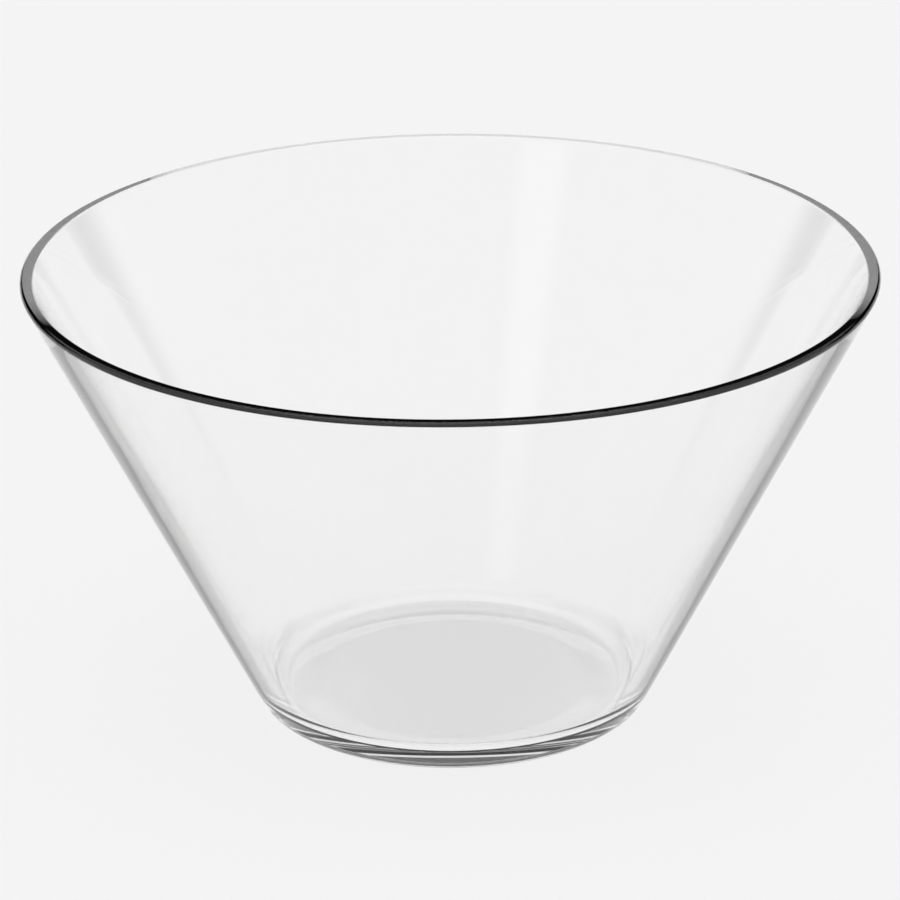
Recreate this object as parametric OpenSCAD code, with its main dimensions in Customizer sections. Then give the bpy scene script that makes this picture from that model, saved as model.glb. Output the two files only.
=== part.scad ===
// Clear pressed-glass serving bowl: one revolved wall of glass with a flat
// fire-softened rim, straight flared sides, a rolled heel and a recessed
// underside. Millimetres. +Z is up, and the origin is the middle of the
// standing ring.

/* [Bowl] */
// Outer diameter across the rim
rim_d = 280; // [240:1:320]
// Height from the table to the top of the rim
bowl_h = 152; // [120:1:180]

/* [Wall] */
// Thickness of the wall at the rim, square to the wall
wall_rim_t = 4.1; // [3.2:0.1:5.5]
// Thickness of the wall low down, where it meets the heel
wall_foot_t = 6.5; // [4.5:0.1:8]
// Radius of the two softened edges of the rim, with a flat between them
edge_r = 1.2; // [0.5:0.1:1.5]

/* [Foot] */
// Outer diameter of the flat ring that the bowl stands on
foot_d = 117.2; // [100:0.2:140]
// Width of that ring, from the heel in to the recess
ring_w = 5; // [3:0.5:12]
// Radius of the rolled heel between the ring and the wall
heel_r = 8.4; // [4:0.1:12]
// Depth of the recess under the floor
recess_h = 0.4; // [0.2:0.1:2]
// Width of the slope at the edge of the recess
recess_slope_w = 8; // [0.5:0.5:12]

/* [Floor] */
// Thickness of the floor, from the table to its upper face
floor_t = 8.4; // [6:0.1:10]
// Radius of the sweep from the floor up into the wall
floor_fillet_r = 10; // [4:0.5:16]

/* [Hidden] */

// How far a cut reaches past the face that it starts from
overrun = 1;
$fn = 180;

foot_r = foot_d / 2;
recess_r = foot_r - ring_w;

// Centres of the round on the rim's outer edge and of the heel
outer_edge_c = [rim_d / 2 - edge_r, bowl_h - edge_r];
heel_c = [foot_r, heel_r];

// The outer wall is the line that touches both rounds on their outer side.
// Angles are taken from the vertical.
span = outer_edge_c - heel_c;
outer_angle = atan2(span[0], span[1]) - asin((heel_r - edge_r) / norm(span));
wall_length = sqrt(pow(norm(span), 2) - pow(heel_r - edge_r, 2));

// The inner wall leans a little more, so that the glass thickens downwards
inner_angle = outer_angle + atan2(wall_foot_t - wall_rim_t, wall_length);

// Unit vector square to a wall that leans by angle a, pointing outwards
function outwards(a) = [cos(a), -sin(a)];

wall_top = outer_edge_c + edge_r * outwards(outer_angle);
wall_bottom = heel_c + heel_r * outwards(outer_angle);
inner_wall_top = wall_top - wall_rim_t * outwards(outer_angle);

// Distance of the inner wall's line from the axis at height z
function inner_wall_x(z) = inner_wall_top[0] + (z - inner_wall_top[1]) * tan(inner_angle);

// Centre of the round on the rim's inner edge, which lies in the glass
inner_edge_x = inner_wall_x(outer_edge_c[1]) + edge_r / cos(inner_angle);
inner_edge_c = [inner_edge_x, outer_edge_c[1]];
inner_edge_end = inner_edge_c - edge_r * outwards(inner_angle);

// Centre of the floor's sweep: one radius above the floor, one in from the wall
sweep_z = floor_t + floor_fillet_r;
sweep_x = inner_wall_x(sweep_z) - floor_fillet_r / cos(inner_angle);
sweep_c = [sweep_x, sweep_z];
sweep_end = sweep_c + floor_fillet_r * outwards(inner_angle);

// A full round of the profile: its centre and its radius
module round_at(centre, radius) {
    translate(centre) circle(r = radius);
}

// Half the section of the bowl if it were solid: foot, rolled heel, outer wall
// and rim
module outer_section() {
    polygon([
        [0, 0],
        [foot_r, 0],
        wall_bottom,
        wall_top,
        [outer_edge_c[0], bowl_h],
        [0, bowl_h],
    ]);
    round_at(heel_c, heel_r);
    round_at(outer_edge_c, edge_r);
}

// Half the section of the hollow: flat floor, sweep and inner wall, open above
// the rim's inner edge
module hollow_section() {
    polygon([
        [0, floor_t],
        [sweep_x, floor_t],
        sweep_end,
        inner_edge_end,
        inner_edge_c,
        [inner_edge_x, bowl_h + overrun],
        [0, bowl_h + overrun],
    ]);
    round_at(sweep_c, floor_fillet_r);
}

// What is taken out under the floor, so that only the ring touches the table
module recess_section() {
    polygon([
        [0, -overrun],
        [recess_r, -overrun],
        [recess_r, 0],
        [recess_r - recess_slope_w, recess_h],
        [0, recess_h],
    ]);
}

// Half the section of the glass, with the rim's inner edge filled back round
module glass_section() {
    difference() {
        outer_section();
        hollow_section();
        recess_section();
    }
    round_at(inner_edge_c, edge_r);
}

// The bowl, one piece of clear glass
module bowl() {
    color([0.9, 0.93, 0.92, 0.35])
        rotate_extrude()
            glass_section();
}

bowl();
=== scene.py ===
# %% [markdown]
# # A clear glass serving bowl
# The real bowl is one piece of pressed soda-lime glass: a flat floor, a sweep up into straight
# flared sides, a flat rim with edges softened in the fire, and a rolled heel. Clear glass has
# almost no colour of its own. What the eye reads is how its curves bend and mirror the room, so
# this script spends its effort on an exact section, on clean normals and on a plain studio with
# one dark card, which draws the edges of the glass.

# %% Load the frame
import math
import bmesh
import bpy
from mathutils import Matrix, Vector


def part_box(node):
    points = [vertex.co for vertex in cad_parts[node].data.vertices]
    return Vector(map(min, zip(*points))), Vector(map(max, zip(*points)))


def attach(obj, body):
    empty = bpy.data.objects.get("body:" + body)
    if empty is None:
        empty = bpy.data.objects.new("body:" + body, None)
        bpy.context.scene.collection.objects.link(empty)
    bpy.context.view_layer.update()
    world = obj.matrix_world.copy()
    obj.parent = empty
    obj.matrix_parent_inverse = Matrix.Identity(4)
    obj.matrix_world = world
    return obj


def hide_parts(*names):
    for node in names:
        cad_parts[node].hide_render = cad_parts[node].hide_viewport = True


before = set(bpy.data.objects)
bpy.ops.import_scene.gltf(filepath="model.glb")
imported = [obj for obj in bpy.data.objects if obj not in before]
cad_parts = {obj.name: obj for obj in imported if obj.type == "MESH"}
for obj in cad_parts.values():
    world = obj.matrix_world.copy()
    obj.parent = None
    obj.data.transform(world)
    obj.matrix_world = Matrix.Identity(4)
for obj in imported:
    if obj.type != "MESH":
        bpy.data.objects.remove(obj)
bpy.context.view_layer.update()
bowl_low, bowl_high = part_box("bowl")
MM = 0.001
print("bowl", [round(side / MM, 1) for side in bowl_high - bowl_low], "mm")


# %% [markdown]
# ## Small helpers
# Colours are written the way a designer picks them, as sRGB hex, and turned linear once. Each
# material is built with one helper that adds a node, sets its sockets and links it.

# %% Colours and nodes
def linear(hex_colour):
    """An sRGB colour such as #F3F3F3 as the linear values that shaders use."""
    channels = [int(hex_colour[i:i + 2], 16) / 255 for i in (1, 3, 5)]
    return [c / 12.92 if c <= 0.04045 else ((c + 0.055) / 1.055) ** 2.4 for c in channels] + [1.0]


def add(tree, kind, settings=None, **sockets):
    """Adds a node with its settings, and sets or links its sockets, which _0 and up name by place."""
    node = tree.nodes.new(kind)
    for name, value in (settings or {}).items():
        setattr(node, name, value)
    for name, value in sockets.items():
        socket = node.inputs[int(name[1:])] if name[1:].isdigit() else node.inputs[name.replace("_", " ")]
        if isinstance(value, bpy.types.NodeSocket):
            tree.links.new(value, socket)
        else:
            socket.default_value = value
    return node


PAPER_HEX = "#F3F3F3"
print("paper", PAPER_HEX, "is", [round(c, 3) for c in linear(PAPER_HEX)[:3]], "in linear light")

# %% [markdown]
# ## Camera
# The photograph looks down on the bowl from about 1.6 m away with a long lens, and is turned by
# half a degree. The values come from fitting the outline of the rim, the walls and the heel.

# %% Camera
CAMERA_AWAY = 1.49
CAMERA_UP = 0.6833
LOOK_DOWN = math.radians(21.796)
LOOK_LEFT = math.radians(0.0205)
ROLL = math.radians(0.484)
LENS_MM = 193.93

camera_data = bpy.data.cameras.new("Camera")
camera_data.lens = LENS_MM
camera_data.sensor_width = 36
camera_data.clip_end = 50
camera = bpy.data.objects.new("Camera", camera_data)
bpy.context.scene.collection.objects.link(camera)
bpy.context.scene.camera = camera
aim = Matrix.Rotation(LOOK_LEFT, 3, "Z") @ Matrix.Rotation(math.pi / 2 - LOOK_DOWN, 3, "X")
camera.rotation_mode = "QUATERNION"
camera.rotation_quaternion = (aim @ Matrix.Rotation(-ROLL, 3, "Z")).to_quaternion()
camera.location = (0, -CAMERA_AWAY, CAMERA_UP)
print("camera at", [round(c, 3) for c in camera.location])


# %% [markdown]
# ## The section of the glass
# A pressed bowl is a body of revolution, so it could be a spun outline, a lathe-like screw
# modifier on a curve, or a squashed cylinder. It is a spun outline here, because the light in
# clear glass shows every error of its section: each straight has to run into each round without
# a kink. The points where they meet are worked out, and not placed by eye.

# %% Sizes of the section
WALL_RIM_T = 4.1 * MM
WALL_FOOT_T = 6.5 * MM
EDGE_R = 1.2 * MM
FOOT_R = 58.6 * MM
RING_W = 5.0 * MM
HEEL_R = 8.4 * MM
RECESS_H = 0.4 * MM
RECESS_SLOPE_W = 8.0 * MM
FLOOR_T = 8.4 * MM
SWEEP_R = 10.0 * MM
rim_r = bowl_high.x
bowl_h = bowl_high.z
print("wall", round(WALL_RIM_T / MM, 1), "to", round(WALL_FOOT_T / MM, 1), "mm")


# %% Where the straights meet the rounds
def outwards(lean):
    """Unit vector square to a wall that leans out by this angle from the vertical."""
    return Vector((math.cos(lean), 0, -math.sin(lean)))


outer_edge_centre = Vector((rim_r - EDGE_R, 0, bowl_h - EDGE_R))
heel_centre = Vector((FOOT_R, 0, HEEL_R))
span = outer_edge_centre - heel_centre
outer_lean = math.atan2(span.x, span.z) - math.asin((HEEL_R - EDGE_R) / span.length)
wall_length = math.sqrt(span.length ** 2 - (HEEL_R - EDGE_R) ** 2)
inner_lean = outer_lean + math.atan2(WALL_FOOT_T - WALL_RIM_T, wall_length)
wall_top = outer_edge_centre + EDGE_R * outwards(outer_lean)
wall_bottom = heel_centre + HEEL_R * outwards(outer_lean)
inner_top = wall_top - WALL_RIM_T * outwards(outer_lean)


def beside_inner_wall(z, radius):
    """Centre at height z of a round that touches the inner wall, in the glass where radius > 0."""
    wall_x = inner_top.x + (z - inner_top.z) * math.tan(inner_lean)
    return Vector((wall_x + radius / math.cos(inner_lean), 0, z))


inner_edge_centre = beside_inner_wall(bowl_h - EDGE_R, EDGE_R)
inner_edge_end = inner_edge_centre - EDGE_R * outwards(inner_lean)
sweep_centre = beside_inner_wall(FLOOR_T + SWEEP_R, -SWEEP_R)
print("walls lean", round(math.degrees(outer_lean), 2), round(math.degrees(inner_lean), 2), "degrees")


# %% Ways to carry the outline on
def straight(bm, tip, end, cuts):
    """Carries the outline on from its tip in a straight line, in equal steps."""
    start = tip.co.copy()
    for k in range(1, cuts + 1):
        tip = bmesh.ops.extrude_vert_indiv(bm, verts=[tip])["verts"][0]
        tip.co = start.lerp(end, k / cuts)
    return tip


def round_about(bm, tip, centre, angle, steps):
    """Carries the outline on from its tip along an arc about a centre."""
    made = bmesh.ops.spin(bm, geom=[tip], cent=centre, axis=(0, 1, 0), angle=angle, steps=steps)
    return [v for v in made["geom_last"] if isinstance(v, bmesh.types.BMVert)][0]


# %% [markdown]
# The outline starts on the axis at the upper face of the floor. It goes up the inner wall, over
# the rim, down the outer wall, round the heel and back to the axis under the floor. The spin
# operator draws the arcs from a single point, so an arc always ends exactly on its circle. Long
# straights are cut into steps too, so that the faces along them stay close to square.

# %% Draw the outline
quarter = math.pi / 2
WALL_CUTS = 40
FLOOR_CUTS = 20
NARROW_CUTS = 4
SWEEP_STEPS = 24
INNER_EDGE_STEPS = 20
OUTER_EDGE_STEPS = 24
HEEL_STEPS = 28
bm = bmesh.new()
tip = bmesh.ops.create_vert(bm, co=(0, 0, FLOOR_T))["vert"][0]
tip = straight(bm, tip, Vector((sweep_centre.x, 0, FLOOR_T)), FLOOR_CUTS)
tip = round_about(bm, tip, sweep_centre, inner_lean - quarter, SWEEP_STEPS)
tip = straight(bm, tip, inner_edge_end, WALL_CUTS)
tip = round_about(bm, tip, inner_edge_centre, quarter - inner_lean, INNER_EDGE_STEPS)
tip = straight(bm, tip, Vector((outer_edge_centre.x, 0, bowl_h)), NARROW_CUTS)
tip = round_about(bm, tip, outer_edge_centre, quarter + outer_lean, OUTER_EDGE_STEPS)
tip = straight(bm, tip, wall_bottom, WALL_CUTS)
tip = round_about(bm, tip, heel_centre, quarter - outer_lean, HEEL_STEPS)
tip = straight(bm, tip, Vector((FOOT_R - RING_W, 0, 0)), NARROW_CUTS)
tip = straight(bm, tip, Vector((FOOT_R - RING_W - RECESS_SLOPE_W, 0, RECESS_H)), NARROW_CUTS)
tip = straight(bm, tip, Vector((0, 0, RECESS_H)), FLOOR_CUTS)
print("outline points", len(bm.verts), "last at height", round(tip.co.z / MM, 2), "mm")

# %% [markdown]
# ## The bowl
# The outline is spun a full turn and its seam is merged by the spin itself. The two points on
# the axis come out once for each step, and are merged after it.

# %% Spin the bowl
SPIN_STEPS = 288
MERGE_WITHIN = 0.005 * MM
bmesh.ops.spin(bm, geom=bm.verts[:] + bm.edges[:], cent=(0, 0, 0), axis=(0, 0, 1),
               angle=2 * math.pi, steps=SPIN_STEPS, use_merge=True)
bmesh.ops.remove_doubles(bm, verts=bm.verts, dist=MERGE_WITHIN)
bmesh.ops.recalc_face_normals(bm, faces=bm.faces)
for face in bm.faces:
    face.smooth = True
glass_volume = bm.calc_volume()
bowl_mesh = bpy.data.meshes.new("glass_bowl")
bm.to_mesh(bowl_mesh)
bm.free()
bowl = bpy.data.objects.new("glass_bowl", bowl_mesh)
bpy.context.scene.collection.objects.link(bowl)
print("glass", round(glass_volume * 1e6), "cubic cm,", len(bowl_mesh.polygons), "faces")

# %% [markdown]
# Where a flat runs into a round, plain smooth shading tilts the normals of the flat's last faces
# and the glass shows it as a false ripple. Normals weighted by face area keep the flats flat.

# %% Clean normals
weighted = bowl.modifiers.new("Normals by area", "WEIGHTED_NORMAL")
weighted.weight = 50
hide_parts("bowl")
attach(bowl, "root")
print("bowl rides on the root")

# %% [markdown]
# ## Glass
# Clear soda-lime glass has an index of 1.52 and takes away very little light, with a faint grey
# tint. Pressed glass is never quite flat: a long, shallow wave from the mould bends what is seen
# through it, and handling leaves a trace of haze. Both come from noise in Object coordinates.
# The waves are about 45 mm long and the smears of haze about 22 mm across.
# Two kinds of light need help from the Light Path node. A path tracer hardly finds the light
# that passes through glass onto the floor, so for shadow and diffuse rays the glass is a clear
# veil, a little darker at its edges. It also gives light up after four reflections inside the
# glass, which blackens the rim, so in the rim and the upper wall that light comes out dimmed.

# %% Surface of the glass
WAVES_PER_METRE = 22.0
WAVE_HEIGHT = 0.06 * MM
SMEARS_PER_METRE = 45.0
HAZE_ROUGHNESS = 0.02
GLASS_IOR = 1.52
GLASS_HEX = "#FCFCFC"

glass = bpy.data.materials.new("soda_lime_glass")
glass.use_nodes = True
tree = glass.node_tree
tree.nodes.clear()
place = add(tree, "ShaderNodeTexCoord").outputs["Object"]
mould_wave = add(tree, "ShaderNodeTexNoise", Vector=place, Scale=WAVES_PER_METRE, Detail=1.0,
                 Roughness=0.4)
wave = add(tree, "ShaderNodeBump", Height=mould_wave.outputs["Fac"], Strength=0.5, Distance=WAVE_HEIGHT)
handling = add(tree, "ShaderNodeTexNoise", Vector=place, Scale=SMEARS_PER_METRE, Detail=4.0,
               Roughness=0.6)
haze = add(tree, "ShaderNodeMapRange", Value=handling.outputs["Fac"], From_Min=0.5, From_Max=0.8,
           To_Min=0.0, To_Max=HAZE_ROUGHNESS)
surface = add(tree, "ShaderNodeBsdfPrincipled", Base_Color=linear(GLASS_HEX), Roughness=haze.outputs[0],
              IOR=GLASS_IOR, Transmission_Weight=1.0, Normal=wave.outputs["Normal"])
print("waves", round(1 / WAVES_PER_METRE / MM), "mm long")
print("smears", round(1 / SMEARS_PER_METRE / MM), "mm across")

# %% Light through the glass
VEIL_FACING_HEX = "#FFFFFF"
VEIL_EDGE_HEX = "#FAFAFA"
DIMMED_FROM = 70 * MM
DIMMED_FULL = 105 * MM
DIMMED_TO = 0.36
REFLECTIONS_KEPT = 3.5

rays = add(tree, "ShaderNodeLightPath").outputs
passing = add(tree, "ShaderNodeMath", {"operation": "MAXIMUM"}, _0=rays["Is Shadow Ray"],
              _1=rays["Is Diffuse Ray"])
facing = add(tree, "ShaderNodeLayerWeight", Blend=0.5).outputs["Facing"]
veil = add(tree, "ShaderNodeMix", {"data_type": "RGBA"}, Factor=facing, _6=linear(VEIL_FACING_HEX),
           _7=linear(VEIL_EDGE_HEX))
clear_veil = add(tree, "ShaderNodeBsdfTransparent", Color=veil.outputs["Result"])
height = add(tree, "ShaderNodeSeparateXYZ", Vector=place).outputs["Z"]
let_out = add(tree, "ShaderNodeMapRange", Value=height, From_Min=DIMMED_FROM, From_Max=DIMMED_FULL,
              To_Min=0.0, To_Max=DIMMED_TO)
dimmed = add(tree, "ShaderNodeBsdfTransparent", Color=let_out.outputs[0])
late = add(tree, "ShaderNodeMath", {"operation": "GREATER_THAN"}, _0=rays["Glossy Depth"],
           _1=REFLECTIONS_KEPT)
inside = add(tree, "ShaderNodeMixShader", _0=late.outputs[0], _1=surface.outputs[0], _2=dimmed.outputs[0])
body = add(tree, "ShaderNodeMixShader", _0=passing.outputs[0], _1=inside.outputs[0],
           _2=clear_veil.outputs[0])
add(tree, "ShaderNodeOutputMaterial", Surface=body.outputs[0])
bowl_mesh.materials.append(glass)
print("material", glass.name, "with", len(tree.nodes), "nodes")

# %% [markdown]
# ## Floor
# The bowl stands on a wide sheet of pale paper. A real standing ring rests on a few high points
# only, with a film of air under the rest. Here the sheet lies a tenth of a millimetre low, so
# that the ring mirrors what is above it, which draws the dark lines along the heel.

# %% Floor
AIR_GAP = 0.1 * MM
FLOOR_R = 6.0
FLOOR_SEGMENTS = 64
bm = bmesh.new()
bmesh.ops.create_circle(bm, cap_ends=True, segments=FLOOR_SEGMENTS, radius=FLOOR_R)
bmesh.ops.translate(bm, vec=(0, 0, -AIR_GAP), verts=bm.verts)
floor_mesh = bpy.data.meshes.new("floor")
bm.to_mesh(floor_mesh)
bm.free()
floor = bpy.data.objects.new("floor", floor_mesh)
bpy.context.scene.collection.objects.link(floor)
paper = bpy.data.materials.new("pale_paper")
paper.use_nodes = True
tree = paper.node_tree
tree.nodes.clear()
sheet = add(tree, "ShaderNodeBsdfDiffuse", Color=linear(PAPER_HEX))
add(tree, "ShaderNodeOutputMaterial", Surface=sheet.outputs[0])
floor_mesh.materials.append(paper)
print("floor", round(max(floor.dimensions), 1), "m across")

# %% [markdown]
# ## Studio
# Clear glass is drawn by its surroundings. A bright ceiling gives most of the light, the walls of
# the room are white and dimmer behind the bowl, a soft window stands behind the camera's left
# shoulder, and a dark card stands low behind the bowl, so that the thick glass of the rim and
# the heel has something dark to bend. All of them are part of the world's light: each is a range
# of directions, around the bowl and up from the floor. The camera itself sees one pale backdrop
# there, as light as the paper on the floor.

# %% Directions
studio = bpy.data.worlds.new("studio")
bpy.context.scene.world = studio
studio.use_nodes = True
tree = studio.node_tree
tree.nodes.clear()
DEGREES = 180 / math.pi
direction = add(tree, "ShaderNodeTexCoord").outputs["Generated"]
parts = add(tree, "ShaderNodeSeparateXYZ", Vector=direction).outputs
rise = add(tree, "ShaderNodeMath", {"operation": "ARCSINE"}, _0=parts["Z"]).outputs[0]
turn = add(tree, "ShaderNodeMath", {"operation": "ARCTAN2"}, _0=parts["X"], _1=parts["Y"]).outputs[0]
up = add(tree, "ShaderNodeMath", {"operation": "MULTIPLY"}, _0=rise, _1=DEGREES).outputs[0]
around = add(tree, "ShaderNodeMath", {"operation": "MULTIPLY"}, _0=turn, _1=DEGREES).outputs[0]
print("directions in degrees: up from the floor, and around from straight behind the bowl")


# %% Ranges of direction
def between(tree, value, low, high, soft):
    """1 where the value lies between two bounds and 0 outside them, with soft ends."""
    ends = []
    for bound, first, last in ((low, 0.0, 1.0), (high, 1.0, 0.0)):
        end = add(tree, "ShaderNodeMapRange", {"interpolation_type": "SMOOTHSTEP"}, Value=value,
                  From_Min=bound - soft / 2, From_Max=bound + soft / 2, To_Min=first, To_Max=last)
        ends.append(end.outputs[0])
    return add(tree, "ShaderNodeMath", {"operation": "MULTIPLY"}, _0=ends[0], _1=ends[1]).outputs[0]


def card(tree, light, sides, heights, brightness, soft_side, soft_height):
    """The light, changed to a brightness over a range of directions around and up."""
    across = between(tree, around, *sides, soft_side)
    upright = between(tree, up, *heights, soft_height)
    cover = add(tree, "ShaderNodeMath", {"operation": "MULTIPLY"}, _0=across, _1=upright).outputs[0]
    change = add(tree, "ShaderNodeMath", {"operation": "SUBTRACT"}, _0=brightness, _1=light).outputs[0]
    changed = add(tree, "ShaderNodeMath", {"operation": "MULTIPLY_ADD"}, _0=cover, _1=change, _2=light)
    return changed.outputs[0]


# %% [markdown]
# Each line below gives a range around, a range up, the brightness there, and how soft its edges
# are around and up, all but the brightness in degrees. A range of 200 each way goes all round.
# A later line covers an earlier one where they meet. The ceiling's soft edge is wide, so it also
# dims the ceiling a little straight overhead.

# %% Light of the studio
WALLS = 1.02
CEILING = ((-200, 200), (60, 91), 1.62, 10, 24)
BACK_WALL = ((-75, 75), (26, 58), 0.6, 20, 6)
BACK_CARD = ((-62, 62), (7, 27.5), 0.015, 10, 2)
WINDOW = ((-158, -143), (22, 42), 1.4, 5, 4)
HORIZON = ((-200, 200), (-90, 7), 0.9, 10, 2)
BACKDROP = 0.9
light = add(tree, "ShaderNodeValue").outputs[0]
light.default_value = WALLS
for sides, heights, brightness, soft_side, soft_height in (CEILING, BACK_WALL, BACK_CARD, WINDOW, HORIZON):
    light = card(tree, light, sides, heights, brightness, soft_side, soft_height)
sight = add(tree, "ShaderNodeLightPath").outputs["Is Camera Ray"]
seen = add(tree, "ShaderNodeMix", {"data_type": "FLOAT"}, _0=sight, _2=light, _3=BACKDROP)
background = add(tree, "ShaderNodeBackground", Color=linear("#FFFFFF"), Strength=seen.outputs[0])
add(tree, "ShaderNodeOutputWorld", Surface=background.outputs[0])
print("studio with", len(tree.nodes), "nodes")

# %% Finish
bpy.context.scene.view_settings.view_transform = "Standard"
